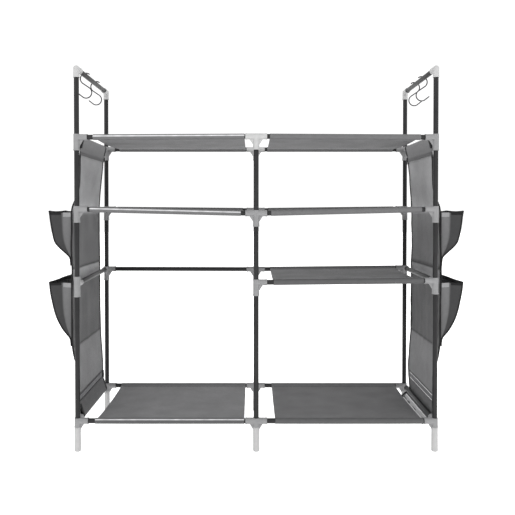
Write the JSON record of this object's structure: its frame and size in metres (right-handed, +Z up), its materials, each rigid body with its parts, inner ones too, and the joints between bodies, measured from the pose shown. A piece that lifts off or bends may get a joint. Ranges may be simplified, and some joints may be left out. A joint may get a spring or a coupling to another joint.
{
  "type": "shoe organizer",
  "caption": "Free-standing two-bay shoe rack of steel tubes in moulded connectors, with fabric shelves, fabric side panels with outside pockets, and S-hooks on raised side rails.",
  "frame": {"origin": "on the floor, under the middle of the frame", "axes": "+X along the length to the viewer's right, +Y from the front to the back, +Z up"},
  "size_m": [1.006, 0.292, 0.928],
  "materials": {
    "frame_steel": "satin black powder coat",
    "connector_plastic": "light grey moulded polypropylene",
    "shelf_fabric": "grey spunbond non-woven, sewn round its rails",
    "panel_fabric": "grey spunbond non-woven with dark binding",
    "pocket_fabric": "grey spunbond non-woven with dark binding",
    "hook_steel": "dark plated round wire"
  },
  "bodies": {
    "frame": {"connector_bottom_front_left": "connector_plastic", "connector_lower_front_left": "connector_plastic", "connector_middle_front_left": "connector_plastic", "connector_upper_front_left": "connector_plastic", "connector_hanger_front_left": "connector_plastic", "connector_bottom_front_centre": "connector_plastic", "connector_lower_front_centre": "connector_plastic", "connector_middle_front_centre": "connector_plastic", "connector_upper_front_centre": "connector_plastic", "connector_bottom_front_right": "connector_plastic", "connector_lower_front_right": "connector_plastic", "connector_middle_front_right": "connector_plastic", "connector_upper_front_right": "connector_plastic", "connector_hanger_front_right": "connector_plastic", "connector_bottom_back_left": "connector_plastic", "connector_lower_back_left": "connector_plastic", "connector_middle_back_left": "connector_plastic", "connector_upper_back_left": "connector_plastic", "connector_hanger_back_left": "connector_plastic", "connector_bottom_back_centre": "connector_plastic", "connector_lower_back_centre": "connector_plastic", "connector_middle_back_centre": "connector_plastic", "connector_upper_back_centre": "connector_plastic", "connector_bottom_back_right": "connector_plastic", "connector_lower_back_right": "connector_plastic", "connector_middle_back_right": "connector_plastic", "connector_upper_back_right": "connector_plastic", "connector_hanger_back_right": "connector_plastic", "post_front_left": "frame_steel", "post_front_centre": "frame_steel", "post_front_right": "frame_steel", "post_back_left": "frame_steel", "post_back_centre": "frame_steel", "post_back_right": "frame_steel", "side_rail_bottom_left": "frame_steel", "side_rail_bottom_right": "frame_steel", "side_rail_lower_left": "frame_steel", "side_rail_lower_right": "frame_steel", "side_rail_upper_left": "frame_steel", "side_rail_upper_right": "frame_steel", "side_rail_hanger_left": "frame_steel", "side_rail_hanger_right": "frame_steel", "back_rail_lower_left": "frame_steel", "shelf_upper_left": "shelf_fabric", "shelf_upper_right": "shelf_fabric", "shelf_middle_left": "shelf_fabric", "shelf_middle_right": "shelf_fabric", "shelf_lower_right": "shelf_fabric", "shelf_bottom_left": "shelf_fabric", "shelf_bottom_right": "shelf_fabric", "side_panel_left": "panel_fabric", "side_panel_right": "panel_fabric", "pocket_row_upper_left": "pocket_fabric", "pocket_row_lower_left": "pocket_fabric", "pocket_row_upper_right": "pocket_fabric", "pocket_row_lower_right": "pocket_fabric"},
    "left_front_hook": {"hook_left_front": "hook_steel"},
    "left_back_hook": {"hook_left_back": "hook_steel"},
    "right_front_hook": {"hook_right_front": "hook_steel"},
    "right_back_hook": {"hook_right_back": "hook_steel"}
  },
  "joints": [
    {"name": "left_front_hook_swing", "type": "hinge", "parent": "frame", "child": "left_front_hook", "pos_m": [-0.43, -0.059, 0.919], "axis": [0, 1, 0], "range_deg": [-60, 60]},
    {"name": "left_back_hook_swing", "type": "hinge", "parent": "frame", "child": "left_back_hook", "pos_m": [-0.43, 0.034, 0.919], "axis": [0, 1, 0], "range_deg": [-60, 60]},
    {"name": "right_front_hook_swing", "type": "hinge", "parent": "frame", "child": "right_front_hook", "pos_m": [0.43, -0.022, 0.919], "axis": [0, 1, 0], "range_deg": [-60, 60]},
    {"name": "right_back_hook_swing", "type": "hinge", "parent": "frame", "child": "right_back_hook", "pos_m": [0.43, 0.046, 0.919], "axis": [0, 1, 0], "range_deg": [-60, 60]}
  ]
}
